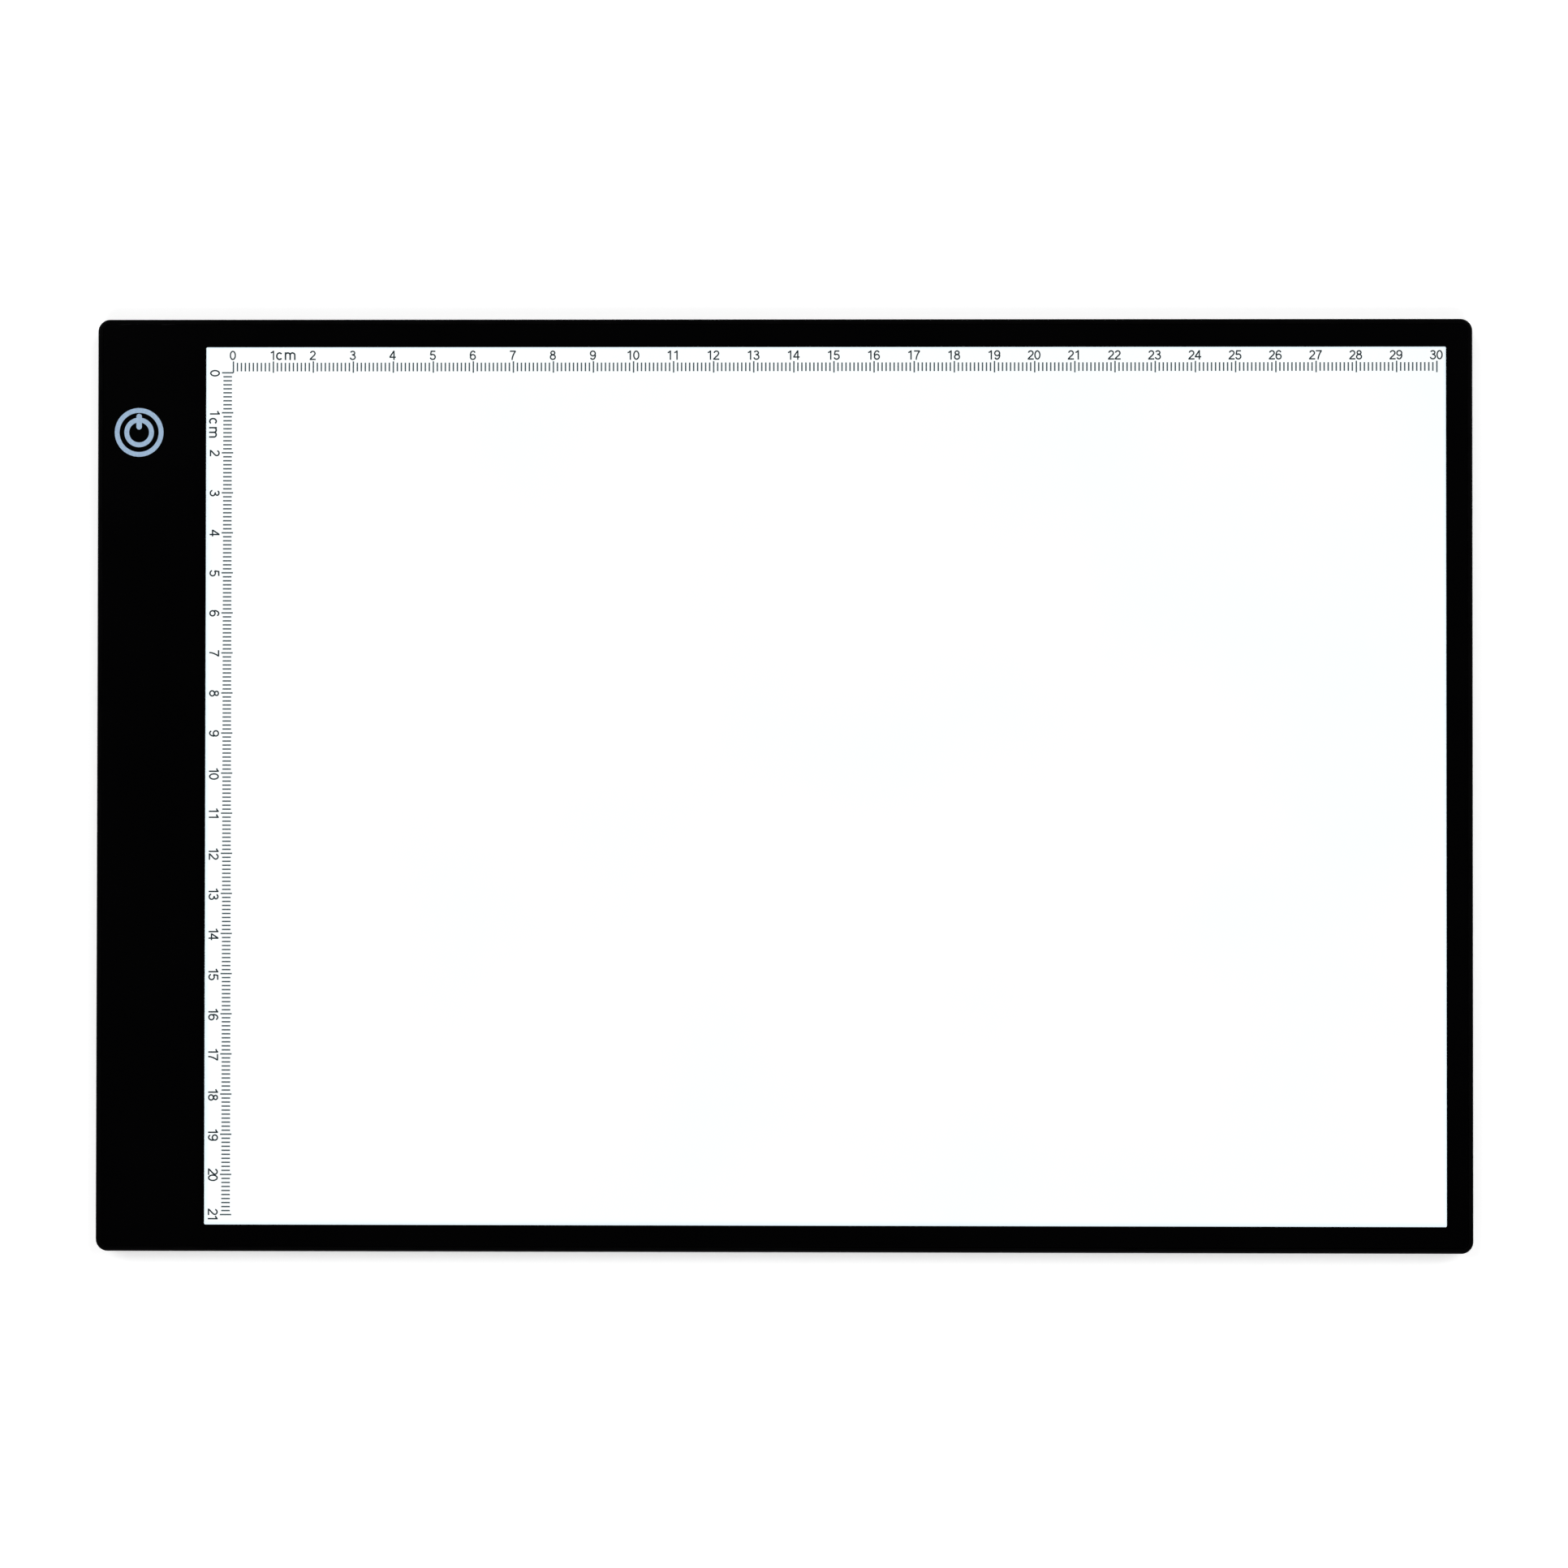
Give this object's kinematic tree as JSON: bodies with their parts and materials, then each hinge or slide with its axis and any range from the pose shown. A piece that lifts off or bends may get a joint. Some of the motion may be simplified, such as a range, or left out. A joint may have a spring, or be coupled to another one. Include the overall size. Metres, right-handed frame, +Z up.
{
  "type": "light box",
  "caption": "Thin A4 edge-lit light box for tracing: black frame, opal lit window with a printed ruler, touch key and micro-USB inlet.",
  "frame": {"origin": "centre of the footprint, on the plane that the feet stand on", "axes": "+X along the long side away from the wide control band, +Y towards the side with the power inlet, +Z up out of the lit drawing surface"},
  "size_m": [0.3428, 0.2326, 0.0058],
  "materials": {
    "frame_plastic": "black moulded ABS, fine satin texture",
    "overlay_film": "black printed film, smooth satin",
    "key_print": "pale grey-blue printed mark, satin",
    "ruler_ink": "dark slate printed ink, satin",
    "opal_acrylic": "opal acrylic, satin, lit from behind",
    "cover_plastic": "black moulded ABS, coarser texture",
    "tape": "black acrylic foam tape",
    "diffuser": "milky polyester film",
    "guide_acrylic": "clear acrylic with printed white dots",
    "reflector": "bright white polyester film",
    "foam": "dark open-cell foam",
    "shield_tape": "black polyester tape, white underneath",
    "strip_laminate": "white solder mask on laminate",
    "lamp_body": "white moulded lamp body",
    "phosphor": "yellow phosphor in silicone",
    "board_laminate": "green solder mask on laminate",
    "screw_steel": "zinc-plated steel",
    "socket_steel": "nickel-plated steel",
    "socket_plastic": "black glass-filled nylon",
    "contact_metal": "gold-plated copper alloy",
    "spring_steel": "tinned spring wire",
    "chip_epoxy": "black epoxy body with tinned legs",
    "resistor_body": "black film on ceramic, tinned ends",
    "capacitor_body": "tan ceramic, tinned ends",
    "red_insulation": "red PVC",
    "black_insulation": "black PVC",
    "solder": "bright tin solder",
    "foot_rubber": "dark silicone rubber"
  },
  "bodies": {
    "root": {"middle_frame": "frame_plastic", "rear_cover": "cover_plastic", "rear_tape": "tape", "front_tape": "tape", "front_panel": "opal_acrylic", "border_overlay": "overlay_film", "touch_key_symbol": "key_print", "diffuser_film": "diffuser", "light_guide_plate": "guide_acrylic", "reflector_film": "reflector", "guide_cushions": "foam", "led_shield_tape": "shield_tape", "led_strip_board": "strip_laminate", "led_strip_tape": "tape", "led_packages": "lamp_body", "led_lenses": "phosphor", "control_board": "board_laminate", "board_screws": "screw_steel", "usb_socket_shell": "socket_steel", "usb_socket_tongue": "socket_plastic", "usb_socket_contacts": "contact_metal", "touch_spring": "spring_steel", "touch_chip": "chip_epoxy", "driver_transistor": "chip_epoxy", "chip_resistors": "resistor_body", "chip_capacitors": "capacitor_body", "red_wire": "red_insulation", "black_wire": "black_insulation", "solder_joints": "solder", "foot_front_left": "foot_rubber", "foot_front_right": "foot_rubber", "foot_rear_left": "foot_rubber", "foot_rear_right": "foot_rubber"}
  },
  "joints": []
}
